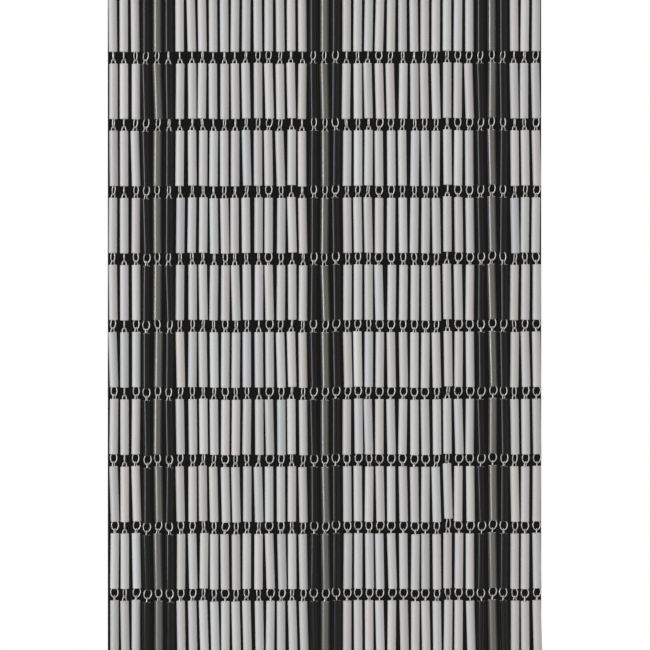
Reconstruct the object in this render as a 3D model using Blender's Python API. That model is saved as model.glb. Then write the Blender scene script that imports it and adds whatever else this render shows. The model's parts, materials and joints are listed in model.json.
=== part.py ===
"""Fly curtain: strands of short plastic tubes on bent wire links, hooked in a head rail.

The front faces -Y, the rail's back face lies at Y = 0 and its middle is the origin.
Lengths are in metres and angles in radians.
"""

import math
import random

import bmesh
import bpy
from mathutils import Matrix, Vector

# Tubes
TUBE_DIAMETER = 0.0067
TUBE_WALL = 0.0006
TUBE_LENGTH = 0.0441
TUBES_PER_STRAND = 10
PLAIN_TUBE_SIDES = 6
HOLLOW_TUBE_SIDES = 12

# Wire links: an arch above each tube, a ring below it
WIRE_DIAMETER = 0.00095
LEG_CLEARANCE = 0.0003
ARCH_HEIGHT = 0.0039
ARCH_WIDTH_SHARE = 0.85
RING_DEPTH = 0.0077
RING_WIDTH = 0.0070
RING_WIDEST_DEPTH = 0.0030
LINK_CLEARANCE = 0.0003
RING_GAP = 0.0004
RING_CLOSE_ANGLE = math.radians(62)
ARCH_STEPS = 6
LEG_STEPS = 4
SHORT_RING_STEPS = 3
LONG_RING_STEPS = 8

# Curtain
STRAND_GAP = 0.00218
SWING_AXIS_DROP = 0.0050
CHAIN_STRAND_INDEX = 2
CHAIN_LINK_COUNT = 8

# Head rail
RAIL_WALL = 0.0015
RAIL_DEPTH = 0.0160
CHANNEL_HEIGHT = 0.0140
FLANGE_HEIGHT = 0.0120
RAIL_END_MARGIN = 0.0140
SCREW_HOLE_DIAMETER = 0.0042
SCREW_HOLE_INSET = 0.0300
SCREW_HOLE_SIDES = 16

# Hook strip
STRIP_THICKNESS = 0.0030
STRIP_SIDE_CLEARANCE = 0.0005
SEAT_CLEARANCE = 0.0003
HOOK_ROD = 0.0012
HOOK_WIDTH_SHARE = 0.5
HOOK_CLEARANCE = 0.00025
HOOK_TIP = 0.0015
HOOK_ARC_STEPS = 4
SLOT_CLEARANCE = 0.00045

# End caps
CAP_THICKNESS = 0.0020
CAP_PLUG_DEPTH = 0.0080

OVERRUN = 0.0010

# Colours from left to right: w white, b black, g grey
SIDE_FIELD = "www"
BAND = "bgb"
WIDE_FIELD = "w" * 12
COLOURS = SIDE_FIELD + BAND + WIDE_FIELD + BAND + WIDE_FIELD + BAND + SIDE_FIELD

# How far each strand hangs to the side, as shares of half the gap between strands
SIDE_SHARES = (
    0.3, 0.0, 0.3, 0.0, 0.0, 0.0, 0.1, 0.9, 0.45, 0.2, 0.15, -0.4, -0.3,
    0.3, 0.0, 0.4, 0.15, 0.2, 0.0, -0.1, -0.1, -0.15, -0.35, -0.65, -1.0, -0.45,
    0.05, 0.35, -0.05, -0.2, -0.1, -0.35, 0.05, 0.0, 0.0, 0.1, 0.15, -0.5, -0.3,
)

# How far the links are turned about the upright, under the first and the ninth tube,
# as shares of a quarter turn
UPPER_TURN_SHARES = (
    0.1, 0.0, 0.3, 0.5, 0.35, 0.1, 0.0, 0.05, 0.15, 0.0, 0.1, 0.05, 0.15,
    0.4, 0.5, 0.25, 0.1, 0.0, 0.4, 0.3, 0.55, 0.05, 0.2, 0.0, 0.6, 0.35,
    0.2, 0.05, 0.25, 0.25, 0.2, 0.5, 0.5, 0.4, 0.4, 0.35, 0.0, 0.1, 0.45,
)
LOWER_TURN_SHARES = (
    0.9, 0.3, 0.85, 1.0, 0.7, 0.85, 0.65, 0.6, 0.25, 0.4, 0.95, 0.4, 0.45,
    -0.3, 1.1, 0.6, -0.25, 0.45, 0.9, 0.75, 1.0, 0.8, 0.95, 0.7, 1.0, 1.05,
    0.9, 1.05, 1.15, 0.5, -0.5, 1.2, 1.0, 1.05, 1.1, 0.85, 0.5, 0.85, 1.1,
)

# Small irregularities, as shares of half the gap between strands
WANDER_SHARE = 0.42
LEAN_SHARE = 0.43
LEAN_BIAS_SHARE = 0.15
SWAY_SEED = 2245

# Worked out from the sizes above
TUBE_RADIUS = TUBE_DIAMETER / 2
BORE_RADIUS = TUBE_RADIUS - TUBE_WALL
WIRE_RADIUS = WIRE_DIAMETER / 2
LEG_RADIUS = BORE_RADIUS - LEG_CLEARANCE - WIRE_RADIUS
ARCH_RADIUS = LEG_RADIUS * ARCH_WIDTH_SHARE
ARCH_WINDOW = 2 * (ARCH_RADIUS - WIRE_RADIUS)
TUBE_TOP = -(ARCH_HEIGHT - WIRE_RADIUS)
LINK_GAP = ARCH_HEIGHT + RING_DEPTH - 2 * WIRE_DIAMETER - LINK_CLEARANCE
ROW_PITCH = TUBE_LENGTH + LINK_GAP
STRAND_SPACING = TUBE_DIAMETER + STRAND_GAP
HALF_GAP = STRAND_GAP / 2
STRANDS = len(COLOURS)
SPAN = (STRANDS - 1) * STRAND_SPACING

RAIL_LENGTH = SPAN + 2 * RAIL_END_MARGIN
RAIL_BOTTOM = -(CHANNEL_HEIGHT + FLANGE_HEIGHT) / 2
RAIL_TOP = RAIL_BOTTOM + CHANNEL_HEIGHT + FLANGE_HEIGHT
CHANNEL_TOP = RAIL_BOTTOM + CHANNEL_HEIGHT
AXIS_Y = -RAIL_DEPTH / 2
AXIS_Z = RAIL_BOTTOM - SWING_AXIS_DROP
HOOK_BOWL = WIRE_DIAMETER + HOOK_CLEARANCE
HOOK_REACH = HOOK_BOWL + HOOK_ROD
SLOT_HALF = HOOK_REACH + SLOT_CLEARANCE
STRIP_BOTTOM = RAIL_BOTTOM + RAIL_WALL + SEAT_CLEARANCE
STRIP_LENGTH = RAIL_LENGTH - 2 * (CAP_PLUG_DEPTH + STRIP_SIDE_CLEARANCE)


def clear_scene():
    for obj in list(bpy.data.objects):
        bpy.data.objects.remove(obj)


def make_material(name, colour, roughness, metallic=0.0):
    material = bpy.data.materials.new(name)
    material.use_nodes = True
    shader = material.node_tree.nodes["Principled BSDF"]
    shader.inputs["Base Color"].default_value = (*colour, 1.0)
    shader.inputs["Roughness"].default_value = roughness
    shader.inputs["Metallic"].default_value = metallic
    return material


def add_object(name, data, material, location=(0, 0, 0), parent=None):
    data.materials.append(material)
    obj = bpy.data.objects.new(name, data)
    bpy.context.scene.collection.objects.link(obj)
    obj.location = location
    obj.parent = parent
    return obj


def mesh_from(bm, name, smooth=False):
    bmesh.ops.recalc_face_normals(bm, faces=bm.faces)
    mesh = bpy.data.meshes.new(name)
    bm.to_mesh(mesh)
    bm.free()
    if smooth:
        mesh.shade_smooth()
        mesh.set_sharp_from_angle(angle=math.radians(40))
    return mesh


def prism(bm, outline, low, high, place):
    """A closed bar: the outline set at two stations, with place(u, v, station) giving each point."""
    ends = []
    for station in (low, high):
        corners = [bm.verts.new(place(u, v, station)) for u, v in outline]
        bm.faces.new(corners)
        ends.append(corners)
    for i in range(len(outline)):
        j = (i + 1) % len(outline)
        bm.faces.new((ends[0][i], ends[0][j], ends[1][j], ends[1][i]))


def along_x(u, v, station):
    return (station, u, v)


def along_y(u, v, station):
    return (u, station, v)


def rectangle(u_low, u_high, v_low, v_high):
    return [(u_low, v_low), (u_high, v_low), (u_high, v_high), (u_low, v_high)]


def circle(radius, sides, centre=(0, 0)):
    steps = [2 * math.pi * i / sides for i in range(sides)]
    return [(centre[0] + radius * math.cos(a), centre[1] + radius * math.sin(a)) for a in steps]


def boolean(obj, helper, operation):
    """Cut or join a hidden helper into an object."""
    helper.hide_render = True
    helper.display_type = "WIRE"
    modifier = obj.modifiers.new(helper.name, "BOOLEAN")
    modifier.operation = operation
    modifier.object = helper


# Strands whose tubes and links are one piece

def corners_at(bm, outline, centre, tilt=0.0):
    """Corners of a flat outline, set at a centre and tilted about the Y axis."""
    turn = Matrix.Rotation(tilt, 3, "Y")
    return [bm.verts.new(centre + turn @ Vector((u, v, 0))) for u, v in outline]


def turned(outline, angle):
    turn = Matrix.Rotation(angle, 2)
    return [tuple(turn @ Vector(point)) for point in outline]


def side_walls(bm, first, second):
    for i in range(len(first)):
        j = (i + 1) % len(first)
        bm.faces.new((first[i], first[j], second[j], second[i]))


def bridge(bm, first, second):
    """Close the band between two loops of corners with triangles, in order round their centres."""
    events = []
    for index, loop in enumerate((first, second)):
        centre = sum((corner.co for corner in loop), Vector()) / len(loop)
        for corner in loop:
            offset = corner.co - centre
            events.append((math.atan2(offset.y, offset.x), index, corner))
    events.sort(key=lambda event: event[:2])
    latest = {index: corner for _, index, corner in events}
    for _, index, corner in events:
        bm.faces.new((latest[index], corner, latest[1 - index]))
        latest[index] = corner


def hook_arch(bm):
    """The open wire arch that hangs on a hook, square in section. Returns its foot outline."""
    outer, inner = ARCH_RADIUS + WIRE_RADIUS, ARCH_RADIUS - WIRE_RADIUS
    section = rectangle(inner, outer, -WIRE_RADIUS, WIRE_RADIUS)
    arc = [math.pi * (1 - i / HOOK_ARC_STEPS) for i in range(HOOK_ARC_STEPS + 1)]
    bend = [(math.cos(angle), math.sin(angle), -ARCH_RADIUS) for angle in arc]
    loops = []
    for across, up, centre_z in [(-1, 0, TUBE_TOP)] + bend + [(1, 0, TUBE_TOP)]:
        loop = [(radius * across, y, centre_z + radius * up) for radius, y in section]
        loops.append([bm.verts.new(corner) for corner in loop])
    for first, second in zip(loops, loops[1:]):
        side_walls(bm, first, second)
    left, right = loops[0], loops[-1]
    bm.faces.new((left[0], right[0], right[3], left[3]))
    return left + right


def sway(strand, first_row, rows):
    """Side place and lean of each tube in a run of a strand, in metres, and each ring's turn."""
    draw = random.Random(SWAY_SEED + strand)
    side = SIDE_SHARES[strand - 1] * HALF_GAP
    upper, lower = UPPER_TURN_SHARES[strand - 1], LOWER_TURN_SHARES[strand - 1]
    tubes = []
    for row in range(1, TUBES_PER_STRAND + 1):
        wander = draw.uniform(-WANDER_SHARE, WANDER_SHARE) * HALF_GAP
        lean = (LEAN_BIAS_SHARE + draw.uniform(-LEAN_SHARE, LEAN_SHARE)) * HALF_GAP
        share = upper + (lower - upper) * (row - 1) / (TUBES_PER_STRAND - 2)
        if row == first_row:
            top, bottom = 0.0, side
        else:
            top, bottom = side + wander - lean, side + wander + lean
        tubes.append((top, bottom, share * math.pi / 2))
    return tubes[first_row - 1:first_row - 1 + rows]


def joined_strand(strand, first_row=1, rows=TUBES_PER_STRAND):
    """One closed solid: tubes as plain bars, with flat necks where the wire links cross."""
    bm = bmesh.new()
    tube = circle(TUBE_RADIUS, PLAIN_TUBE_SIDES)
    ring_half, arch_half = LEG_RADIUS + WIRE_RADIUS, ARCH_RADIUS + WIRE_RADIUS
    ring_neck = rectangle(-WIRE_RADIUS, WIRE_RADIUS, -ring_half, ring_half)
    arch_neck = rectangle(-arch_half, arch_half, -WIRE_RADIUS, WIRE_RADIUS)
    above = hook_arch(bm)
    places = sway(strand, first_row, rows)
    for row, (top, bottom, turn) in enumerate(places):
        z_top = TUBE_TOP - row * ROW_PITCH
        z_bottom = z_top - TUBE_LENGTH
        tilt = math.atan2(top - bottom, TUBE_LENGTH)
        head = corners_at(bm, tube, Vector((top, 0, z_top)), -tilt)
        foot = corners_at(bm, tube, Vector((bottom, 0, z_bottom)), -tilt)
        bridge(bm, above, head)
        side_walls(bm, head, foot)
        neck = corners_at(bm, turned(ring_neck, turn), Vector((bottom, 0, z_bottom)), -tilt)
        bridge(bm, foot, neck)
        if row + 1 < rows:
            next_top = Vector((places[row + 1][0], 0, z_bottom - LINK_GAP))
            above = corners_at(bm, turned(arch_neck, turn), next_top)
            bridge(bm, neck, above)
        else:
            end_place = Vector((bottom, 0, z_bottom - RING_DEPTH))
            end = corners_at(bm, turned(ring_neck, turn), end_place)
            side_walls(bm, neck, end)
            bm.faces.new(end)
    return bm


# The strand that comes apart link by link

def hollow_tube():
    """An open tube that turns loosely about its link."""
    bm = bmesh.new()
    outer = circle(TUBE_RADIUS, HOLLOW_TUBE_SIDES)
    inner = circle(BORE_RADIUS, HOLLOW_TUBE_SIDES)
    heads, feet = [
        [corners_at(bm, outline, Vector((0, 0, z))) for outline in (outer, inner)]
        for z in (TUBE_TOP, TUBE_TOP - TUBE_LENGTH)
    ]
    side_walls(bm, heads[0], feet[0])
    side_walls(bm, heads[1], feet[1])
    side_walls(bm, heads[0], heads[1])
    side_walls(bm, feet[0], feet[1])
    return bm


def ring_route(side, close_angle, steps):
    """One leg's way round the ring, from the tube's end to where the wire is closed."""
    half_width = (RING_WIDTH - WIRE_DIAMETER) / 2
    rise_share = math.sqrt(1 - (LEG_RADIUS / half_width) ** 2)
    upper_height = (RING_WIDEST_DEPTH - LINK_CLEARANCE) / rise_share
    lower_height = RING_DEPTH - WIRE_RADIUS - RING_WIDEST_DEPTH
    centre_z = TUBE_TOP - TUBE_LENGTH - RING_WIDEST_DEPTH
    start = side * math.acos(-rise_share)
    points = []
    for i in range(steps + 1):
        angle = start + (close_angle - start) * i / steps
        half_height = upper_height if math.cos(angle) < 0 else lower_height
        points.append(Vector((0, half_width * math.sin(angle), centre_z - half_height * math.cos(angle))))
    return points


def leg_route(side):
    """One leg's way down the bore, a quarter turn from the arch's plane to the ring's."""
    points = []
    for i in range(LEG_STEPS + 1):
        share = i / LEG_STEPS
        radius = ARCH_RADIUS + (LEG_RADIUS - ARCH_RADIUS) * share
        angle = (0 if side > 0 else math.pi) + share * math.pi / 2
        z = -ARCH_RADIUS + (TUBE_TOP - TUBE_LENGTH + ARCH_RADIUS) * share
        points.append(Vector((radius * math.cos(angle), radius * math.sin(angle), z)))
    return points


def wire_link():
    """A bent wire: arch on top, two legs through the tube, and a ring that the two ends close."""
    gap_angle = 2 * RING_GAP / (RING_WIDTH - WIRE_DIAMETER)
    short = leg_route(1) + ring_route(1, RING_CLOSE_ANGLE + gap_angle, SHORT_RING_STEPS)
    long = leg_route(-1) + ring_route(-1, RING_CLOSE_ANGLE, LONG_RING_STEPS)
    arch = []
    for i in range(1, ARCH_STEPS):
        angle = math.pi * i / ARCH_STEPS
        arch.append(Vector((ARCH_RADIUS * math.cos(angle), 0, ARCH_RADIUS * (math.sin(angle) - 1))))
    route = short[::-1] + arch + long
    curve = bpy.data.curves.new("wire_link", "CURVE")
    curve.dimensions = "3D"
    curve.bevel_depth = WIRE_RADIUS
    curve.bevel_resolution = 1
    curve.use_fill_caps = True
    spline = curve.splines.new("POLY")
    spline.points.add(len(route) - 1)
    for point, place in zip(spline.points, route):
        point.co = (*place, 1)
    return curve


# Head rail, hook strip and end caps

def rail_outline():
    """The extruded section: a channel with a slot below and a screw flange up its back."""
    slot_back, slot_front = AXIS_Y + SLOT_HALF, AXIS_Y - SLOT_HALF
    lip_top = RAIL_BOTTOM + RAIL_WALL
    return [
        (0, RAIL_BOTTOM), (0, RAIL_TOP), (-RAIL_WALL, RAIL_TOP), (-RAIL_WALL, CHANNEL_TOP),
        (-RAIL_DEPTH, CHANNEL_TOP), (-RAIL_DEPTH, RAIL_BOTTOM), (slot_front, RAIL_BOTTOM),
        (slot_front, lip_top), (RAIL_WALL - RAIL_DEPTH, lip_top),
        (RAIL_WALL - RAIL_DEPTH, CHANNEL_TOP - RAIL_WALL), (-RAIL_WALL, CHANNEL_TOP - RAIL_WALL),
        (-RAIL_WALL, lip_top), (slot_back, lip_top), (slot_back, RAIL_BOTTOM),
    ]


def head_rail(material):
    bm = bmesh.new()
    prism(bm, rail_outline(), -RAIL_LENGTH / 2, RAIL_LENGTH / 2, along_x)
    rail = add_object("head_rail", mesh_from(bm, "head_rail"), material)
    bm = bmesh.new()
    height = RAIL_TOP - (FLANGE_HEIGHT - RAIL_WALL) / 2
    inset = RAIL_LENGTH / 2 - SCREW_HOLE_INSET
    for x in (-inset, 0, inset):
        hole = circle(SCREW_HOLE_DIAMETER / 2, SCREW_HOLE_SIDES, (x, height))
        prism(bm, hole, -RAIL_WALL - OVERRUN, OVERRUN, along_y)
    cutter = add_object("screw_holes", mesh_from(bm, "screw_holes"), material)
    boolean(rail, cutter, "DIFFERENCE")


def hook_outline():
    """A hook seen from its side: stem behind, bowl below, tip in front."""
    arc = [-math.pi * i / HOOK_ARC_STEPS for i in range(HOOK_ARC_STEPS + 1)]
    y, z = AXIS_Y, AXIS_Z
    outer = [(y + HOOK_REACH * math.cos(a), z + HOOK_REACH * math.sin(a)) for a in arc]
    inner = [(y + HOOK_BOWL * math.cos(a), z + HOOK_BOWL * math.sin(a)) for a in reversed(arc)]
    root = STRIP_BOTTOM + OVERRUN
    tip = [(y - HOOK_REACH, z + HOOK_TIP), (y - HOOK_BOWL, z + HOOK_TIP)]
    return [(y + HOOK_REACH, root)] + outer + tip + inner + [(y + HOOK_BOWL, root)]


def hook_strip(material):
    """The moulded strip that slides in the rail, with a hook for each strand."""
    half_width = RAIL_DEPTH / 2 - RAIL_WALL - STRIP_SIDE_CLEARANCE
    bar = rectangle(
        AXIS_Y - half_width, AXIS_Y + half_width, STRIP_BOTTOM, STRIP_BOTTOM + STRIP_THICKNESS
    )
    bm = bmesh.new()
    prism(bm, bar, -STRIP_LENGTH / 2, STRIP_LENGTH / 2, along_x)
    strip = add_object("hook_strip", mesh_from(bm, "hook_strip"), material)
    bm = bmesh.new()
    half_hook = ARCH_WINDOW * HOOK_WIDTH_SHARE / 2
    for strand in range(1, STRANDS + 1):
        x = strand_x(strand)
        prism(bm, hook_outline(), x - half_hook, x + half_hook, along_x)
    hooks = add_object("hooks", mesh_from(bm, "hooks"), material)
    boolean(strip, hooks, "UNION")


def end_cap(name, side, material):
    """A cap over one end of the rail, with a plug that pushes into the channel."""
    outline = [
        (0, RAIL_BOTTOM), (0, RAIL_TOP), (-RAIL_WALL, RAIL_TOP), (-RAIL_WALL, CHANNEL_TOP),
        (-RAIL_DEPTH, CHANNEL_TOP), (-RAIL_DEPTH, RAIL_BOTTOM),
    ]
    inner_face = side * (RAIL_LENGTH / 2 + SEAT_CLEARANCE)
    bm = bmesh.new()
    prism(bm, outline, inner_face, inner_face + side * CAP_THICKNESS, along_x)
    cap = add_object(name, mesh_from(bm, name), material)
    inset = RAIL_WALL + SEAT_CLEARANCE
    plug = rectangle(
        inset - RAIL_DEPTH, -inset, RAIL_BOTTOM + inset, CHANNEL_TOP - inset
    )
    bm = bmesh.new()
    plug_end = side * (RAIL_LENGTH / 2 - CAP_PLUG_DEPTH)
    prism(bm, plug, plug_end, inner_face + side * CAP_THICKNESS / 2, along_x)
    helper = add_object(name + "_plug", mesh_from(bm, name + "_plug"), material)
    boolean(cap, helper, "UNION")


def strand_x(strand):
    return (strand - 1) * STRAND_SPACING - SPAN / 2


def joined_strands(colours):
    for strand, colour in enumerate(COLOURS, start=1):
        if strand == CHAIN_STRAND_INDEX:
            continue
        name = f"strand_{strand:02d}"
        mesh = mesh_from(joined_strand(strand), name, smooth=True)
        add_object(name, mesh, colours[colour], (strand_x(strand), AXIS_Y, AXIS_Z))


def chain_strand(colours, wire):
    """Tubes and wires as pieces of their own, each link hung from the one above."""
    place, parent = (strand_x(CHAIN_STRAND_INDEX), AXIS_Y, AXIS_Z), None
    colour = colours[COLOURS[CHAIN_STRAND_INDEX - 1]]
    for link in range(1, CHAIN_LINK_COUNT + 1):
        link_obj = add_object(f"wire_link_{link}", wire_link(), wire, place, parent)
        tube = mesh_from(hollow_tube(), f"tube_{link}", smooth=True)
        add_object(f"tube_{link}", tube, colour, parent=link_obj)
        place, parent = (0, 0, -ROW_PITCH), link_obj
    rows = TUBES_PER_STRAND - CHAIN_LINK_COUNT
    tail = joined_strand(CHAIN_STRAND_INDEX, CHAIN_LINK_COUNT + 1, rows)
    add_object("tail_tubes", mesh_from(tail, "tail_tubes", smooth=True), colour, place, parent)


clear_scene()
PVC_COLOURS = {
    "w": make_material("white_pvc", (0.60, 0.59, 0.57), 0.35),
    "g": make_material("grey_pvc", (0.20, 0.19, 0.18), 0.3),
    "b": make_material("black_pvc", (0.012, 0.012, 0.014), 0.2),
}
head_rail(make_material("rail_aluminium", (0.62, 0.63, 0.64), 0.35, 1.0))
hook_strip(make_material("hook_nylon", (0.05, 0.05, 0.055), 0.45))
CAP_PLASTIC = make_material("cap_plastic", (0.22, 0.22, 0.23), 0.5)
end_cap("end_cap_left", -1, CAP_PLASTIC)
end_cap("end_cap_right", 1, CAP_PLASTIC)
joined_strands(PVC_COLOURS)
chain_strand(PVC_COLOURS, make_material("link_wire", (0.62, 0.61, 0.58), 0.25, 1.0))
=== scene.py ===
"""Looks of a fly curtain: plastic tubes on linked wires, hung from a head rail. Metres, +Z up."""

import json
import math
import random

import bmesh
import bpy
from mathutils import Matrix, Vector


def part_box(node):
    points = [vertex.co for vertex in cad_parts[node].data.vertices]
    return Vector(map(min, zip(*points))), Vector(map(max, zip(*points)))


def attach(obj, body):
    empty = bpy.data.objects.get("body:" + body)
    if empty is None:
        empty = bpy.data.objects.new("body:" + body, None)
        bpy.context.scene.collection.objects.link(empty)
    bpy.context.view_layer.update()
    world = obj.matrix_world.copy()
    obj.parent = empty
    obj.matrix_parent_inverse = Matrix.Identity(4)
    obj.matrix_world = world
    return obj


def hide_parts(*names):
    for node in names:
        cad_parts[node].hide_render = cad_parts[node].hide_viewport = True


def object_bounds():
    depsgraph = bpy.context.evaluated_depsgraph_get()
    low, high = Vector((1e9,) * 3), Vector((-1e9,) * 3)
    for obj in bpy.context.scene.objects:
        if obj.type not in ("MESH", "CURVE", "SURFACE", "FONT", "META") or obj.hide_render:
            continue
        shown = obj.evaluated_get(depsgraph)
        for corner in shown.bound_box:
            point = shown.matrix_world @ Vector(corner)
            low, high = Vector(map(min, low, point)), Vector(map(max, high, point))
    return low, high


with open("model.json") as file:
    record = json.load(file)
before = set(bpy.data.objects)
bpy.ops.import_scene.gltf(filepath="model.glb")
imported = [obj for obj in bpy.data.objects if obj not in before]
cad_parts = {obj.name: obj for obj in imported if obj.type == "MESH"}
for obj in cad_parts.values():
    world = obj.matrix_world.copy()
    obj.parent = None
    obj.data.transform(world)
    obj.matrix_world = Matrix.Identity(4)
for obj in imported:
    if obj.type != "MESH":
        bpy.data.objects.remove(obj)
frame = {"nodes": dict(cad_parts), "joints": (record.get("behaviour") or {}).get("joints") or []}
cad_low, cad_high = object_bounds()

# Head rail
# The rail is a length of extruded aluminium: a channel with a slot below and a flange up its back.
# It is sawn square at both ends, drilled in three places, and screwed to the wall over a doorway.

RAIL_COLOUR = (0.5, 0.507, 0.513)
RAIL_SHADES = (0.88, 1.08)
RAIL_ROUGHNESS = 0.52
RAIL_CLOUDS_PER_METRE = 60
RAIL_CLOUD_ROUGHNESS = 0.08
RAIL_LINE_ROUGHNESS = 0.14
RAIL_LINE_WIDTH = 0.0004
RAIL_LINE_LENGTH = 0.12
RAIL_LINE_RELIEF = 0.00004
RAIL_CORNER = 0.00022
CORNER_STEPS = 2
ROUND_PROFILE = 0.5
HARD_EDGE = math.radians(30)
SMOOTH_EDGE = math.radians(20)
FLAT_EDGE = math.radians(1)
MERGE_DISTANCE = 0.000002


class Value:
    """A socket of a node tree. Arithmetic on it adds Math nodes, and node() adds any other kind."""

    def __init__(self, tree, socket=None):
        self.tree, self.socket = tree, socket

    def feed(self, target, sockets):
        """Set or link the input sockets of a node."""
        for name, value in sockets.items():
            if isinstance(value, Value):
                self.tree.links.new(value.socket, target.inputs[name])
            else:
                target.inputs[name].default_value = value

    def node(self, kind, sockets=None, output=0, **settings):
        """Add a node, with its settings first and then its sockets, and return an output of it."""
        made = self.tree.nodes.new(kind)
        for name, setting in settings.items():
            setattr(made, name, setting)
        self.feed(made, sockets or {})
        return Value(self.tree, made.outputs[output])

    def math(self, operation, *terms):
        return self.node("ShaderNodeMath", dict(enumerate(terms)), operation=operation)

    def __add__(self, other):
        return self.math("ADD", self, other)

    def __sub__(self, other):
        return self.math("SUBTRACT", self, other)

    def __mul__(self, other):
        return self.math("MULTIPLY", self, other)

    def __truediv__(self, other):
        return self.math("DIVIDE", self, other)

    def __radd__(self, other):
        return self.math("ADD", other, self)

    def __rsub__(self, other):
        return self.math("SUBTRACT", other, self)

    def __rmul__(self, other):
        return self.math("MULTIPLY", other, self)

    def __lt__(self, other):
        return self.math("LESS_THAN", self, other)

    def __gt__(self, other):
        return self.math("GREATER_THAN", self, other)


def new_finish(name, **constants):
    """A material, the value to start its nodes from, and its shader with the constants set."""
    material = bpy.data.materials.new(name)
    material.use_nodes = True
    start = Value(material.node_tree)
    shader = material.node_tree.nodes["Principled BSDF"]
    start.feed(shader, {label.replace("_", " "): value for label, value in constants.items()})
    return material, start, shader


def coordinates(start, scale=(1, 1, 1)):
    """Places on the piece in metres, times a scale for each axis."""
    place = start.node("ShaderNodeTexCoord", output="Object")
    return start.node("ShaderNodeVectorMath", {0: place, 1: scale}, operation="MULTIPLY")


def noise(start, scale=1, detail=2, place=None):
    """Smooth noise from 0 to 1, with about this many grains in a metre or a unit of place."""
    sockets = {"Vector": place or coordinates(start), "Scale": scale, "Detail": detail}
    return start.node("ShaderNodeTexNoise", sockets)


def between(ends, share):
    """A value that runs from the first end to the second as a share goes from 0 to 1."""
    return ends[0] + (ends[1] - ends[0]) * share


def shaded(start, colour, share):
    """A colour times a share that varies over the piece."""
    return start.node("ShaderNodeVectorMath", {0: colour, 3: share}, operation="SCALE")


def bumped(start, height, relief, strength):
    """A normal from a height between 0 and 1, over a relief in metres."""
    sockets = {"Height": height, "Distance": relief, "Strength": strength}
    return start.node("ShaderNodeBump", sockets)


def brushed_aluminium():
    """Mill finish: fine lines run the way the bar came out of the die."""
    material, start, shader = new_finish("rail_aluminium", Metallic=1.0)
    along = (1 / RAIL_LINE_LENGTH, 1 / RAIL_LINE_WIDTH, 1 / RAIL_LINE_WIDTH)
    lines = noise(start, detail=3, place=coordinates(start, along))
    cloud = noise(start, RAIL_CLOUDS_PER_METRE)
    roughness = RAIL_ROUGHNESS + RAIL_LINE_ROUGHNESS * lines + RAIL_CLOUD_ROUGHNESS * cloud
    start.feed(shader, {
        "Base Color": shaded(start, RAIL_COLOUR, between(RAIL_SHADES, lines)),
        "Roughness": roughness,
        "Normal": bumped(start, lines, RAIL_LINE_RELIEF, strength=0.35),
    })
    return material


def eased(name, node, material, width):
    """A copy of one of the rail's solids with its outer edges rounded and its faces shaded flat."""
    bm = bmesh.new()
    bm.from_mesh(frame["nodes"][node].data)
    bmesh.ops.remove_doubles(bm, verts=bm.verts, dist=MERGE_DISTANCE)
    bmesh.ops.dissolve_limit(bm, angle_limit=FLAT_EDGE, verts=bm.verts, edges=bm.edges)
    outer = [edge for edge in bm.edges if edge.is_convex and edge.calc_face_angle(0) > HARD_EDGE]
    rounding = {"geom": outer, "offset": width, "segments": CORNER_STEPS, "profile": ROUND_PROFILE}
    rounded = set(bmesh.ops.bevel(bm, affect="EDGES", clamp_overlap=True, **rounding)["faces"])
    for face in bm.faces:
        face.smooth = True
    for edge in bm.edges:
        inside = all(face in rounded for face in edge.link_faces)
        edge.smooth = inside or edge.calc_face_angle(0) < SMOOTH_EDGE
    mesh = bpy.data.meshes.new(name)
    bm.to_mesh(mesh)
    bm.free()
    mesh.materials.clear()
    mesh.materials.append(material)
    piece = bpy.data.objects.new(name, mesh)
    bpy.context.scene.collection.objects.link(piece)
    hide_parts(node)
    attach(piece, "rail")
    return piece


rail = eased("rail_extrusion", "head_rail", brushed_aluminium(), RAIL_CORNER)

# Hook strip
# One nylon moulding slides into the rail: a flat bar with a round hook below it for every strand.
# The hooks hang down through the slot, and each bowl carries the arch of a strand's first wire.

HOOK_COLOUR = (0.045, 0.045, 0.05)
PLASTIC_SHADES = (0.88, 1.12)
PLASTIC_CLOUDS_PER_METRE = 90
PLASTIC_GRAIN_ROUGHNESS = 0.12
STRIP_THICKNESS = 0.0030
STRIP_CORNER = 0.0003
HOOK_ROD = 0.0012
HOOK_SIDES = 8
HOOK_ARC_STEPS = 8
HOOK_TIP = 0.0014
HOOK_ROOT_DEPTH = 0.0006
ROD_END_EDGE = math.radians(80)
WIRE_DIAMETER = 0.00095
TOUCH_GAP = 0.00003


def moulded_plastic(name, colour, grain, relief, roughness):
    """Moulded plastic with the fine grain of the mould, in metres, and its relief."""
    material, start, shader = new_finish(name, Specular_IOR_Level=0.45)
    skin = noise(start, 1 / grain, detail=3)
    cloud = noise(start, PLASTIC_CLOUDS_PER_METRE)
    start.feed(shader, {
        "Base Color": shaded(start, colour, between(PLASTIC_SHADES, cloud)),
        "Roughness": roughness + PLASTIC_GRAIN_ROUGHNESS * skin,
        "Normal": bumped(start, skin, relief, strength=0.5),
    })
    return material


def new_tree(name, labels):
    """A geometry node tree with named inputs. Returns the tree and its inputs as values."""
    tree = bpy.data.node_groups.new(name, "GeometryNodeTree")
    tree.interface.new_socket("Geometry", in_out="INPUT", socket_type="NodeSocketGeometry")
    for label, kind in labels.items():
        tree.interface.new_socket(label, in_out="INPUT", socket_type="NodeSocket" + kind)
    tree.interface.new_socket("Geometry", in_out="OUTPUT", socket_type="NodeSocketGeometry")
    group = tree.nodes.new("NodeGroupInput")
    return tree, {socket.name: Value(tree, socket) for socket in group.outputs}


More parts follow.
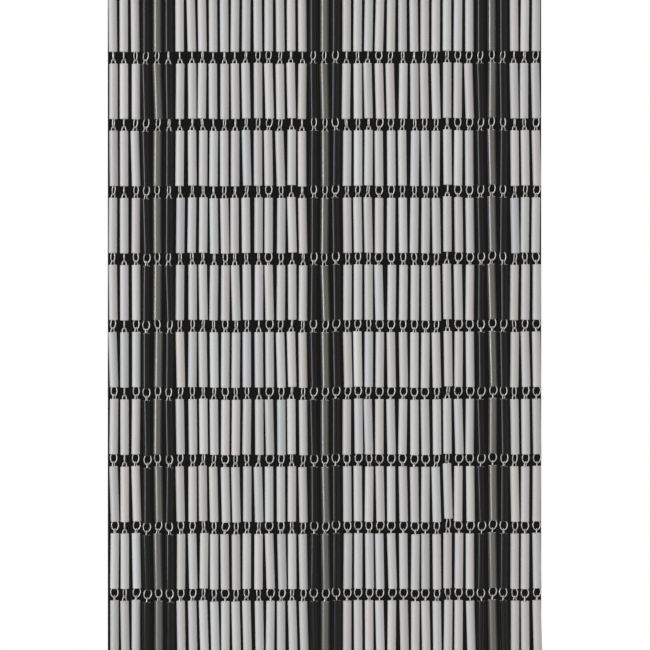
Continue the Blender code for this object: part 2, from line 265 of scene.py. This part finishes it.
def end_tree(skin, given, hard_edge=HARD_EDGE):
    """Close a tree: one real mesh, smooth except along its hard edges, in its material."""
    skin = skin.node("GeometryNodeRealizeInstances", {"Geometry": skin})
    skin = skin.node("GeometryNodeSetShadeSmooth", {"Geometry": skin}, domain="FACE")
    hard = skin.node("GeometryNodeInputMeshEdgeAngle") > hard_edge
    edges = {"Geometry": skin, "Selection": hard, "Shade Smooth": False}
    skin = skin.node("GeometryNodeSetShadeSmooth", edges, domain="EDGE")
    skin = skin.node("GeometryNodeSetMaterial", {"Geometry": skin, "Material": given["Material"]})
    end = skin.tree.nodes.new("NodeGroupOutput")
    skin.feed(end, {0: skin})


def bent_rod_tree():
    """Sweeps a round rod with closed ends along every run of edges."""
    labels = {"Rod Diameter": "Float", "Sides": "Int", "Material": "Material"}
    tree, given = new_tree("bent_rods", labels)
    start = Value(tree)
    runs = start.node("GeometryNodeMeshToCurve", {"Mesh": given["Geometry"]})
    radius = given["Rod Diameter"] / 2
    ring = {"Resolution": given["Sides"], "Radius": radius}
    section = start.node("GeometryNodeCurvePrimitiveCircle", ring)
    sweep = {"Curve": runs, "Profile Curve": section, "Fill Caps": True}
    end_tree(start.node("GeometryNodeCurveToMesh", sweep), given, ROD_END_EDGE)
    return tree


def grow(name, mesh, tree, sizes):
    """Run a tree on a mesh and keep the result as one plain mesh."""
    piece = bpy.data.objects.new(name, mesh)
    bpy.context.scene.collection.objects.link(piece)
    modifier = piece.modifiers.new(tree.name, "NODES")
    modifier.node_group = tree
    for item in tree.interface.items_tree:
        if item.in_out == "INPUT" and item.name in sizes:
            modifier[item.identifier] = sizes[item.name]
    depsgraph = bpy.context.evaluated_depsgraph_get()
    evaluated = piece.evaluated_get(depsgraph)
    grown = bpy.data.meshes.new_from_object(
        evaluated, preserve_all_data_layers=True, depsgraph=depsgraph
    )
    piece.modifiers.remove(modifier)
    piece.data = grown
    return piece


def runs_mesh(name, runs):
    """A mesh of open runs of edges, one for each list of points."""
    points, edges = [], []
    for run in runs:
        first = len(points)
        points += run
        edges += [(first + i, first + i + 1) for i in range(len(run) - 1)]
    mesh = bpy.data.meshes.new(name)
    mesh.from_pydata(points, edges, [])
    return mesh


def hook_run(hinge, strip_bottom):
    """Down the stem behind the hinge, round the bowl below it, and up the tip in front."""
    reach = (WIRE_DIAMETER + HOOK_ROD) / 2 + TOUCH_GAP
    arc = [-math.pi * i / HOOK_ARC_STEPS for i in range(HOOK_ARC_STEPS + 1)]
    bowl = [hinge + reach * Vector((0, math.cos(a), math.sin(a))) for a in arc]
    root = Vector((hinge.x, hinge.y + reach, strip_bottom + HOOK_ROOT_DEPTH))
    return [root] + bowl + [bowl[-1] + Vector((0, 0, HOOK_TIP))]


hinges = {
    joint["child"]: Vector(joint["pos_m"])
    for joint in frame["joints"]
    if "range_deg" in joint
}
strip_low, strip_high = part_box("hook_strip")
nylon = moulded_plastic(
    "hook_nylon", HOOK_COLOUR, grain=0.00012, relief=0.00003, roughness=0.42
)
bent_rods = bent_rod_tree()

bm = bmesh.new()
bmesh.ops.create_cube(bm, size=1)
strip_size = strip_high - strip_low
strip_size.z = STRIP_THICKNESS
strip_centre = (strip_low + strip_high) / 2
strip_centre.z = strip_high.z - STRIP_THICKNESS / 2
bmesh.ops.transform(bm, matrix=Matrix.LocRotScale(strip_centre, None, strip_size), verts=bm.verts)
rounding = {"offset": STRIP_CORNER, "segments": CORNER_STEPS, "profile": ROUND_PROFILE}
bmesh.ops.bevel(bm, geom=bm.edges[:], affect="EDGES", **rounding)
strip_mesh = bpy.data.meshes.new("hook_strip_bar")
bm.to_mesh(strip_mesh)
bm.free()
strip_mesh.materials.append(nylon)
strip_bar = bpy.data.objects.new("hook_strip_bar", strip_mesh)
bpy.context.scene.collection.objects.link(strip_bar)

strip_bottom = strip_high.z - STRIP_THICKNESS
top_hinges = [place for place in hinges.values() if place.z > strip_low.z - HOOK_TIP]
hook_runs = runs_mesh("hooks", [hook_run(hinge, strip_bottom) for hinge in top_hinges])
hook_sizes = {"Rod Diameter": HOOK_ROD, "Sides": HOOK_SIDES, "Material": nylon}
hooks = grow("hook_strip_hooks", hook_runs, bent_rods, hook_sizes)
for piece in (strip_bar, hooks):
    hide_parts("hook_strip")
    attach(piece, "rail")

# End caps
# A grey plastic cap closes each end of the rail and keeps the hook strip from sliding out.
# Its plug is a push fit in the channel, and its plate covers the whole sawn end.

CAP_COLOUR = (0.22, 0.22, 0.23)
CAP_CORNER = 0.0005

cap_plastic = moulded_plastic(
    "cap_plastic", CAP_COLOUR, grain=0.00025, relief=0.00006, roughness=0.5
)
for side in ("left", "right"):
    cap = eased("rail_cap_" + side, "end_cap_" + side, cap_plastic, CAP_CORNER)

# Wire links
# Each tube hangs on one steel wire, bent into a narrow arch above it and a round ring below.
# The wire's two legs run down the bore with a twist, and its ends meet on the ring's lower side.

WIRE_COLOUR = (0.70, 0.688, 0.663)
WIRE_SHADES = (0.8, 1.1)
WIRE_ROUGHNESS = 0.36
WIRE_PATCHES_PER_METRE = 350
WIRE_PATCH_ROUGHNESS = 0.14
WIRE_PITS_PER_METRE = 4000
WIRE_PIT_ROUGHNESS = 0.06
WIRE_PIT_RELIEF = 0.00003
WIRE_SIDES = 5
ARCH_STEPS = 6
LEG_STEPS = 1
SHORT_RING_STEPS = 2
LONG_RING_STEPS = 10
ARCH_RADIUS = 0.00138
ARCH_FLARE = math.radians(8)
LEG_RADIUS = 0.0021
RING_WIDTH = 0.0070
RING_WIDEST_DEPTH = 0.0028
RING_GAP = 0.00035
RING_CLOSE_ANGLE = math.radians(60)
RING_CLOSE_SPREAD = math.radians(14)
TUBES_PER_STRAND = 10
SWAY_SEED = 2245
LINK_SEED = 400
HOOK_SPREAD = 0.0004
PITCH_SPREAD = 0.00022
WANDER_SHARE = 0.42
LEAN_SHARE = 0.43
LEAN_BIAS_SHARE = 0.15

# How far each strand hangs to the side, as shares of half the gap between strands
SIDE_SHARES = (
    0.3, 0.0, 0.3, 0.0, 0.0, 0.0, 0.1, 0.9, 0.45, 0.2, 0.15, -0.4, -0.3,
    0.3, 0.0, 0.4, 0.15, 0.2, 0.0, -0.1, -0.1, -0.15, -0.35, -0.65, -1.0, -0.45,
    0.05, 0.35, -0.05, -0.2, -0.1, -0.35, 0.05, 0.0, 0.0, 0.1, 0.15, -0.5, -0.3,
)

# How far the links are turned, under the first and the ninth tube, as shares of a quarter turn
UPPER_TURN_SHARES = (
    0.1, 0.0, 0.3, 0.5, 0.35, 0.1, 0.0, 0.05, 0.15, 0.0, 0.1, 0.05, 0.15,
    0.4, 0.5, 0.25, 0.1, 0.0, 0.4, 0.3, 0.55, 0.05, 0.2, 0.0, 0.6, 0.35,
    0.2, 0.05, 0.25, 0.25, 0.2, 0.5, 0.5, 0.4, 0.4, 0.35, 0.0, 0.1, 0.45,
)
LOWER_TURN_SHARES = (
    0.9, 0.3, 0.85, 1.0, 0.7, 0.85, 0.65, 0.6, 0.25, 0.4, 0.95, 0.4, 0.45,
    -0.3, 1.1, 0.6, -0.25, 0.45, 0.9, 0.75, 1.0, 0.8, 0.95, 0.7, 1.0, 1.05,
    0.9, 1.05, 1.15, 0.5, -0.5, 1.2, 1.0, 1.05, 1.1, 0.85, 0.5, 0.85, 1.1,
)

tube_low, tube_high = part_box("tube_1")
tube_diameter = tube_high.y - tube_low.y
tube_length = tube_high.z - tube_low.z
tube_top = tube_high.z - hinges["link_1"].z
tube_foot = tube_top - tube_length
row_pitch = hinges["link_1"].z - hinges["link_2"].z
half_gap = (hinges["strand_04"].x - hinges["strand_03"].x - tube_diameter) / 2
wire_radius = WIRE_DIAMETER / 2
ring_reach = tube_foot + row_pitch + WIRE_DIAMETER + TOUCH_GAP


def plated_wire():
    """Drawn steel with a bright zinc coat: fine pits, and duller patches where it is handled."""
    material, start, shader = new_finish("link_wire", Metallic=1.0)
    pits = noise(start, WIRE_PITS_PER_METRE, detail=3)
    dull = noise(start, WIRE_PATCHES_PER_METRE)
    start.feed(shader, {
        "Base Color": shaded(start, WIRE_COLOUR, between(WIRE_SHADES, dull)),
        "Roughness": WIRE_ROUGHNESS + WIRE_PATCH_ROUGHNESS * dull + WIRE_PIT_ROUGHNESS * pits,
        "Normal": bumped(start, pits, WIRE_PIT_RELIEF, strength=0.4),
    })
    return material


def sway(strand, first_row, rows):
    """Side place of each tube's top and bottom in a run of a strand, and each ring's turn."""
    draw = random.Random(SWAY_SEED + strand)
    side = SIDE_SHARES[strand - 1] * half_gap
    upper, lower = UPPER_TURN_SHARES[strand - 1], LOWER_TURN_SHARES[strand - 1]
    tubes = []
    for row in range(1, TUBES_PER_STRAND + 1):
        wander = draw.uniform(-WANDER_SHARE, WANDER_SHARE) * half_gap
        lean = (LEAN_BIAS_SHARE + draw.uniform(-LEAN_SHARE, LEAN_SHARE)) * half_gap
        share = upper + (lower - upper) * (row - 1) / (TUBES_PER_STRAND - 2)
        if row == first_row:
            top, bottom = 0.0, side
        else:
            top, bottom = side + wander - lean, side + wander + lean
        tubes.append((top, bottom, share * math.pi / 2))
    return tubes[first_row - 1:first_row - 1 + rows]


def drops(strand, rows):
    """How far each row of a strand hangs off its level, because no two wires are bent alike."""
    draw = random.Random(LINK_SEED + strand)
    levels = [0.0, draw.uniform(-HOOK_SPREAD, HOOK_SPREAD)]
    for _ in range(rows - 1):
        levels.append(levels[-1] + draw.uniform(-PITCH_SPREAD, PITCH_SPREAD))
    return levels


def side_at(height, way_down):
    """Side place at a height, on a way down that is given as pairs of height and side place."""
    for (high, first), (low, second) in zip(way_down, way_down[1:]):
        if height >= low or (low, second) == way_down[-1]:
            return first + (second - first) * (high - height) / (high - low)


def ring_run(side, close_angle, steps):
    """One leg's way round the ring, from below the tube to where the wire closes."""
    half_width = RING_WIDTH / 2 - wire_radius
    rise_share = math.sqrt(1 - (LEG_RADIUS / half_width) ** 2)
    start = side * math.acos(-rise_share)
    for i in range(steps + 1):
        angle = start + (close_angle - start) * i / steps
        upper = math.cos(angle) < 0
        half_height = RING_WIDEST_DEPTH / rise_share if upper else ring_reach - RING_WIDEST_DEPTH
        yield half_width * math.sin(angle), -RING_WIDEST_DEPTH - half_height * math.cos(angle)


def leg_run(side, arch_yaw, ring_yaw, mouth, foot, close_angle, steps):
    """One leg of a wire: down the bore with a twist, and round the ring to where it closes."""
    shoulder = ARCH_RADIUS * math.cos(ARCH_FLARE)
    shoulder_height = ARCH_RADIUS * (math.sin(ARCH_FLARE) - 1)
    mouth_radius = shoulder + (shoulder_height - mouth) * math.tan(ARCH_FLARE)
    start_angle = arch_yaw + (0 if side > 0 else math.pi)
    twist = ring_yaw + math.pi / 2 - arch_yaw
    run = []
    for i in range(LEG_STEPS + 1):
        share = i / LEG_STEPS
        radius = between((mouth_radius, LEG_RADIUS), share)
        angle = start_angle + twist * share
        height = between((mouth, foot), share)
        run.append(Vector((radius * math.cos(angle), radius * math.sin(angle), height)))
    plane = Matrix.Rotation(ring_yaw, 3, "Z")
    around = list(ring_run(side, close_angle, steps))[1:]
    return run + [plane @ Vector((0, across, foot + height)) for across, height in around]


def link_run(arch_yaw, ring_yaw, mouth, foot, close_angle):
    """One wire from end to end, in its own frame with the top of its arch at the origin."""
    gap_angle = 2 * RING_GAP / RING_WIDTH
    course = (arch_yaw, ring_yaw, mouth, foot)
    short_leg = leg_run(1, *course, close_angle + gap_angle, SHORT_RING_STEPS)
    long_leg = leg_run(-1, *course, close_angle, LONG_RING_STEPS)
    plane = Matrix.Rotation(arch_yaw, 3, "Z")
    arch = []
    for i in range(ARCH_STEPS + 1):
        angle = ARCH_FLARE + (math.pi - 2 * ARCH_FLARE) * i / ARCH_STEPS
        across, up = ARCH_RADIUS * math.cos(angle), ARCH_RADIUS * (math.sin(angle) - 1)
        arch.append(plane @ Vector((across, 0, up)))
    return short_leg[::-1] + arch + long_leg


class Strand:
    """Rows of tubes and links that hang from one hinge as one body, and plumb if straight."""

    def __init__(self, number, hinge, first_row=1, rows=TUBES_PER_STRAND, straight=False):
        self.number, self.hinge, self.first_row = number, hinge, first_row
        self.places = [(0.0, 0.0, 0.0)] * rows if straight else sway(number, first_row, rows)
        self.levels = [0.0] * (rows + 1) if straight else drops(number, rows)
        self.close = random.Random(LINK_SEED - number - first_row)

    def joints(self):
        """Side place where each link meets the one above, and where the last ring ends."""
        meets = [0.0]
        for above, below in zip(self.places, self.places[1:]):
            meets.append((above[1] + below[0]) / 2)
        return meets + [self.places[-1][1]]

    def wire_runs(self):
        """The wires' points, leaning with the tubes that they carry."""
        meets = self.joints()
        for row, (top, bottom, turn) in enumerate(self.places):
            stretch = self.levels[row + 1] - self.levels[row]
            mouth, foot, drop = tube_top + stretch, tube_foot + stretch, stretch - row_pitch
            lean = [(0.0, meets[row]), (mouth, top), (foot, bottom), (drop, meets[row + 1])]
            arch_yaw = self.places[row - 1][2] if row else 0.0
            spread = self.close.uniform(-RING_CLOSE_SPREAD, RING_CLOSE_SPREAD)
            run = link_run(arch_yaw, turn, mouth, foot, RING_CLOSE_ANGLE + spread)
            shift = self.hinge + Vector((0, 0, self.levels[row] - row * row_pitch))
            yield [shift + point + Vector((side_at(point.z, lean), 0, 0)) for point in run]


def make_wires(name, body, nodes, strand):
    """All wires of a strand as one piece that moves with its body."""
    sizes = {"Rod Diameter": WIRE_DIAMETER, "Sides": WIRE_SIDES, "Material": wire_finish}
    piece = grow(name, runs_mesh(name, strand.wire_runs()), bent_rods, sizes)
    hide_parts(*nodes)
    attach(piece, body)


wire_finish = plated_wire()

# Tubes
# The tubes are cut from thin extruded PVC pipe, white, grey or black, and sit loosely on the wires.
# The saw leaves a slightly sloping mouth, and the die fine lines and cloudy tones along the tube.

COLOURS = "www" + "bgb" + "w" * 12 + "bgb" + "w" * 12 + "bgb" + "www"
WHITE = (0.618, 0.614, 0.609)
GREY = (0.104, 0.0993, 0.0895)
BLACK = (0.0060, 0.0060, 0.0062)
COAT_ROUGHNESS = 0.1
TUBE_LINE_WIDTH = 0.00022
TUBE_LINE_STEPS_PER_METRE = 12
TUBE_LINE_TONE = 0.05
TUBE_CLOUDS_PER_METRE = 160
TUBE_CLOUD_STRETCH = 0.35
TUBE_CLOUD_TONE = 0.07
TUBE_CLOUD_ROUGHNESS = 0.1
TUBE_LINE_SHARE = 0.7
TUBE_RELIEF = 0.00003
TONE_ROUGHNESS = 0.5
END_GRAIN = 0.00022
END_GRAIN_LEVEL = 0.45
END_TONE = 0.16
END_ROUGHNESS = 0.12
END_SHARPNESS = 22
TUBE_WALL = 0.0006
MOUTH_SLOPE = 0.0003
TUBE_SIDES = 16
TUBE_SEED = 900
SHADE_SPREAD = 0.04
BATCH_SPREAD = 0.03
SHADE_LIMIT = 0.16
WARMTH_SPREAD = 0.0105
GREEN_SPREAD = 0.0105
SETTLE_SPREAD = 0.0001

# How far single tubes are caught above or below their place, by strand and row
SLID_TUBES = {(31, 8): 0.0018, (14, 2): 0.0006, (7, 9): -0.0003}


def extruded_pvc(name, colour, roughness, specular, tone_share=1, coat=0):
    """PVC with a soft shine: a tone for each tube, fine lines along it, and dull sawn ends."""
    gloss = {"Specular_IOR_Level": specular, "Coat_Weight": coat, "Coat_Roughness": COAT_ROUGHNESS}
    material, start, shader = new_finish(name, **gloss)
    tone = start.node("ShaderNodeAttribute", output="Fac", attribute_name="shade")
    cast = start.node("ShaderNodeAttribute", output="Vector", attribute_name="cast")
    along = start.node("ShaderNodeAttribute", output="Fac", attribute_name="along")
    upright = (1 / TUBE_LINE_WIDTH, 1 / TUBE_LINE_WIDTH, TUBE_LINE_STEPS_PER_METRE)
    lines = noise(start, place=coordinates(start, upright))
    stretched = coordinates(start, (1, 1, TUBE_CLOUD_STRETCH))
    cloud = noise(start, TUBE_CLOUDS_PER_METRE, detail=3, place=stretched)
    grain = noise(start, 1 / END_GRAIN)
    end = start.math("ABSOLUTE", along) * 2
    end = start.math("POWER", end, END_SHARPNESS)
    streaks = TUBE_LINE_TONE * (lines - 0.5) + TUBE_CLOUD_TONE * (cloud - 0.5)
    sawn = END_TONE * end * (grain - END_GRAIN_LEVEL)
    share = 1 + (tone + streaks + sawn) * tone_share
    toned = start.node("ShaderNodeVectorMath", {0: colour, 1: cast}, operation="MULTIPLY")
    dulled = TUBE_CLOUD_ROUGHNESS * cloud + END_ROUGHNESS * end + TONE_ROUGHNESS * tone
    skin = between((grain, lines), TUBE_LINE_SHARE)
    start.feed(shader, {
        "Base Color": shaded(start, toned, share),
        "Roughness": roughness + dulled,
        "Normal": bumped(start, skin, TUBE_RELIEF, strength=0.3),
    })
    return material


def tube_tree():
    """Sets a hollow tube with sloping mouths at each point, turned by the point's lean."""
    labels = {
        "Tube Diameter": "Float", "Tube Wall": "Float", "Tube Length": "Float",
        "Mouth Slope": "Float", "Sides": "Int", "Material": "Material",
    }
    tree, given = new_tree("tubes", labels)
    start = Value(tree)
    wall, length = given["Tube Wall"], given["Tube Length"]
    outside = length - 2 * given["Mouth Slope"]
    sides = {"Height": wall, "Bottom Width": length, "Top Width": outside, "Offset": 0.0}
    kind = "GeometryNodeCurvePrimitiveQuadrilateral"
    section = start.node(kind, sides, mode="TRAPEZOID")
    turn = {"Geometry": section, "Rotation": (0, 0, -math.pi / 2)}
    section = start.node("GeometryNodeTransform", turn)
    middle = (given["Tube Diameter"] - wall) / 2
    ring = {"Resolution": given["Sides"], "Radius": middle}
    around = start.node("GeometryNodeCurvePrimitiveCircle", ring)
    tube = start.node("GeometryNodeCurveToMesh", {"Curve": around, "Profile Curve": section})
    height = start.node("GeometryNodeInputPosition")
    height = start.node("ShaderNodeSeparateXYZ", {"Vector": height}, output="Z")
    store = {"Geometry": tube, "Name": "along", "Value": height / length}
    tube = start.node("GeometryNodeStoreNamedAttribute", store, data_type="FLOAT", domain="POINT")
    lean = start.node("GeometryNodeInputNamedAttribute", {"Name": "lean"}, data_type="FLOAT_VECTOR")
    lean = start.node("FunctionNodeEulerToRotation", {"Euler": lean})
    spread = {"Points": given["Geometry"], "Instance": tube, "Rotation": lean}
    end_tree(start.node("GeometryNodeInstanceOnPoints", spread), given)
    return tree


def tube_points(name, strand):
    """A point at the middle of each tube, with its lean and its own tone."""
    draw = random.Random(TUBE_SEED + strand.number * TUBES_PER_STRAND + strand.first_row)
    batch = draw.gauss(0, BATCH_SPREAD)
    places, leans, shades, casts = [], [], [], []
    for row, (top, bottom, _) in enumerate(strand.places):
        slid = SLID_TUBES.get((strand.number, strand.first_row + row), 0.0)
        slid += draw.uniform(0, SETTLE_SPREAD)
        height = strand.levels[row + 1] - row * row_pitch + (tube_top + tube_foot) / 2 + slid
        places.append(strand.hinge + Vector(((top + bottom) / 2, 0, height)))
        leans += (0.0, math.atan2(top - bottom, tube_length), 0.0)
        shade = batch + draw.gauss(0, SHADE_SPREAD)
        shades.append(max(-SHADE_LIMIT, min(SHADE_LIMIT, shade)))
        warmth, green = draw.gauss(0, WARMTH_SPREAD), draw.gauss(0, GREEN_SPREAD)
        casts += [1 + warmth, 1 + green, 1 - warmth]
    mesh = bpy.data.meshes.new(name)
    mesh.from_pydata(places, [], [])
    mesh.attributes.new("lean", "FLOAT_VECTOR", "POINT").data.foreach_set("vector", leans)
    mesh.attributes.new("shade", "FLOAT", "POINT").data.foreach_set("value", shades)
    mesh.attributes.new("cast", "FLOAT_VECTOR", "POINT").data.foreach_set("vector", casts)
    return mesh


def make_tubes(name, body, nodes, strand):
    """All tubes of a strand as one piece in the strand's colour."""
    slot, finish = tube_finishes[COLOURS[strand.number - 1]]
    sizes = {
        "Tube Diameter": tube_diameter, "Tube Wall": TUBE_WALL, "Tube Length": tube_length,
        "Mouth Slope": MOUTH_SLOPE, "Sides": TUBE_SIDES, "Material": finish,
    }
    piece = grow(name, tube_points(name, strand), tubes, sizes)
    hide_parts(*nodes)
    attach(piece, body)


tubes = tube_tree()
white = extruded_pvc("white_pvc", WHITE, roughness=0.34, specular=0.45)
grey = extruded_pvc("grey_pvc", GREY, roughness=0.30, specular=1, tone_share=1.6, coat=0.7)
black = extruded_pvc("black_pvc", BLACK, roughness=0.08, specular=0.29)
tube_finishes = {"w": ("white_pvc", white), "g": ("grey_pvc", grey), "b": ("black_pvc", black)}

# Strands
# Each strand is ten tubes on ten linked wires, threaded by hand and hung on its own hook.
# All strands are alike but for their colour, which makes the white field and its dark bands.

for body, hinge in hinges.items():
    if body.startswith("strand_"):
        strand = Strand(int(body.removeprefix("strand_")), hinge)
        make_wires(body + "_wires", body, [body], strand)
        make_tubes(body + "_tubes", body, [body], strand)

# The strand that comes apart
# The second strand is the same as the rest, with each wire and tube free to move by itself.
# Its last two tubes and wires hang as one piece.

CHAIN_STRAND = 2
chain_links = [body for body in hinges if body.startswith("link_")]
for count, body in enumerate(chain_links, start=1):
    link = Strand(CHAIN_STRAND, hinges[body], first_row=count, rows=1, straight=True)
    make_wires(f"{body}_wire", body, [f"wire_link_{count}"], link)
    make_tubes(f"sleeve_{count}_tube", f"sleeve_{count}", [f"tube_{count}"], link)
tail_rows = TUBES_PER_STRAND - len(chain_links)
tail = Strand(CHAIN_STRAND, hinges["tail"], first_row=len(chain_links) + 1, rows=tail_rows)
make_wires("tail_wires", "tail", ["tail_tubes"], tail)
make_tubes("tail_tube_pair", "tail", ["tail_tubes"], tail)

# Studio
# A pale floor with soft light from the left, as from a window, a weak warm light on the right, and
# two more from above and behind. The camera looks straight at the curtain before a doorway, whose
# dark is painted shade: a patch in the world that the camera alone sees, for the unlit room beyond.

PICTURE_SIZE = 650
PICTURE_WIDTH = 0.5178
PICTURE_CENTRE_Z = -0.28335
CAMERA_DISTANCE = 2.5
CAMERA_ROLL = math.radians(-0.11)
# Where the doorway's painted shade lies in the picture, and how dark it is
DARK_LEFT_PIXEL, DARK_RIGHT_PIXEL = 107.8, 541.2
DARK_MARGIN_PIXELS = 3
DARK_SHARE = 0.99
DAYLIGHT = (0.94, 0.965, 1.0)
LAMPLIGHT = (1.0, 0.91, 0.80)
WARM_WHITE = (1.0, 0.95, 0.88)
WHITE_LIGHT = (1.0, 1.0, 1.0)
FLOOR_DROP = 0.06
FLOOR_RADIUS = 0.7
FLOOR_SIDES = 96
FLOOR_FADE = 0.3
FLOOR_COLOUR = (0.8, 0.8, 0.79)
FLOOR_GLOW = 0.4

# How bright the room is as soft light, and as it is mirrored from its front, left and ceiling
ROOM_LIGHT = 0.5
ROOM_DIMMEST = 0.05
ROOM_SHINE = 0.7
ROOM_SIDES = 0.5
ROOM_FRONT = 0.45
ROOM_LEFT = 0.28
ROOM_CEILING = 0.5

scene = bpy.context.scene
scene.view_settings.view_transform = "Standard"
camera_data = bpy.data.cameras.new("camera")
camera_data.lens = camera_data.sensor_width * CAMERA_DISTANCE / PICTURE_WIDTH
camera_data.clip_end = 50
camera = bpy.data.objects.new("camera", camera_data)
scene.collection.objects.link(camera)
camera_place = Vector((0, hinges["link_1"].y - CAMERA_DISTANCE, PICTURE_CENTRE_Z))
facing = Matrix.Rotation(math.pi / 2, 4, "X") @ Matrix.Rotation(CAMERA_ROLL, 4, "Z")
camera.matrix_world = Matrix.Translation(camera_place) @ facing
scene.camera = camera


def soft_light(name, direction, distance, size, power, colour):
    """A softbox that faces the middle of the curtain from an azimuth and elevation in degrees."""
    data = bpy.data.lights.new(name, "AREA")
    data.shape = "RECTANGLE"
    data.size, data.size_y = size
    data.energy, data.color = power, colour
    light = bpy.data.objects.new(name, data)
    scene.collection.objects.link(light)
    azimuth, elevation = (math.radians(angle) for angle in direction)
    out = Vector((math.sin(azimuth), -math.cos(azimuth), math.tan(elevation))).normalized()
    light.location = Vector((0, 0, PICTURE_CENTRE_Z)) + distance * out
    light.rotation_euler = out.to_track_quat("Z", "Y").to_euler()


soft_light("window", (-59, 4), distance=2.4, size=(0.9, 1.1), power=25.7, colour=DAYLIGHT)
soft_light("warm_fill", (60, 0), distance=2.6, size=(2.6, 1.7), power=8.6, colour=LAMPLIGHT)
soft_light("overhead", (-20, 62), distance=2.2, size=(1.6, 1.2), power=5, colour=WARM_WHITE)
soft_light("back_fill", (180, 38), distance=2.6, size=(1.8, 1.1), power=16, colour=WHITE_LIGHT)


def studio_world():
    """White to the camera but for the painted shade of the doorway, and soft grey as light."""
    world = bpy.data.worlds.new("studio")
    world.use_nodes = True
    start = Value(world.node_tree)
    way = start.node("ShaderNodeTexCoord", output="Generated")
    x, y, z = (start.node("ShaderNodeSeparateXYZ", {"Vector": way}, output=i) for i in range(3))
    pixel = PICTURE_WIDTH / PICTURE_SIZE / CAMERA_DISTANCE
    middle = PICTURE_SIZE / 2
    reach = (middle + DARK_MARGIN_PIXELS) * pixel
    across = x + z * math.tan(CAMERA_ROLL)
    # The doorway is painted shade: a dark patch for the camera alone, in place of the unlit room
    # beyond
    doorway_shade = (y > 0) * (across < y * (DARK_RIGHT_PIXEL - middle) * pixel)
    doorway_shade = doorway_shade * (across > y * (DARK_LEFT_PIXEL - middle) * pixel)
    doorway_shade = doorway_shade * (z < y * reach) * (z > y * -reach)
    rays = {
        kind: start.node("ShaderNodeLightPath", output=f"Is {kind} Ray")
        for kind in ("Camera", "Glossy", "Transmission")
    }
    seen = 1 - DARK_SHARE * doorway_shade
    towards = ROOM_SIDES - ROOM_FRONT * y - ROOM_LEFT * x
    towards = towards * towards
    room = ROOM_DIMMEST + ROOM_SHINE * towards * towards
    mirrored = room + ROOM_CEILING * start.math("ABSOLUTE", z)
    light = between((ROOM_LIGHT, mirrored), rays["Glossy"] + rays["Transmission"])
    level = between((light, seen), rays["Camera"])
    start.feed(world.node_tree.nodes["Background"], {"Color": (1, 1, 1, 1), "Strength": level})
    scene.world = world


def pale_floor():
    """A round of pale floor that fades into the white around it, lifted for the camera alone."""
    mesh = bpy.data.meshes.new("floor")
    bm = bmesh.new()
    place = Matrix.Translation((0, 0, cad_low.z - FLOOR_DROP))
    disc = {"segments": FLOOR_SIDES, "radius": FLOOR_RADIUS, "matrix": place}
    bmesh.ops.create_circle(bm, cap_ends=True, **disc)
    bm.to_mesh(mesh)
    bm.free()
    floor = bpy.data.objects.new("floor", mesh)
    scene.collection.objects.link(floor)
    constants = {"Base_Color": (*FLOOR_COLOUR, 1), "Roughness": 0.9, "Specular_IOR_Level": 0.1}
    material, start, shader = new_finish("floor", Emission_Strength=FLOOR_GLOW, **constants)
    camera_rays = start.node("ShaderNodeLightPath", output="Is Camera Ray")
    level = coordinates(start, (1, 1, 0))
    out = start.node("ShaderNodeVectorMath", {0: level}, "Value", operation="LENGTH")
    span = {"Value": out, "From Min": FLOOR_FADE, "From Max": FLOOR_RADIUS}
    fade = start.node("ShaderNodeMapRange", span, interpolation_type="SMOOTHSTEP")
    start.feed(shader, {
        "Alpha": 1 - fade,
        "Emission Color": shaded(start, FLOOR_COLOUR, camera_rays),
    })
    mesh.materials.append(material)


studio_world()
pale_floor()
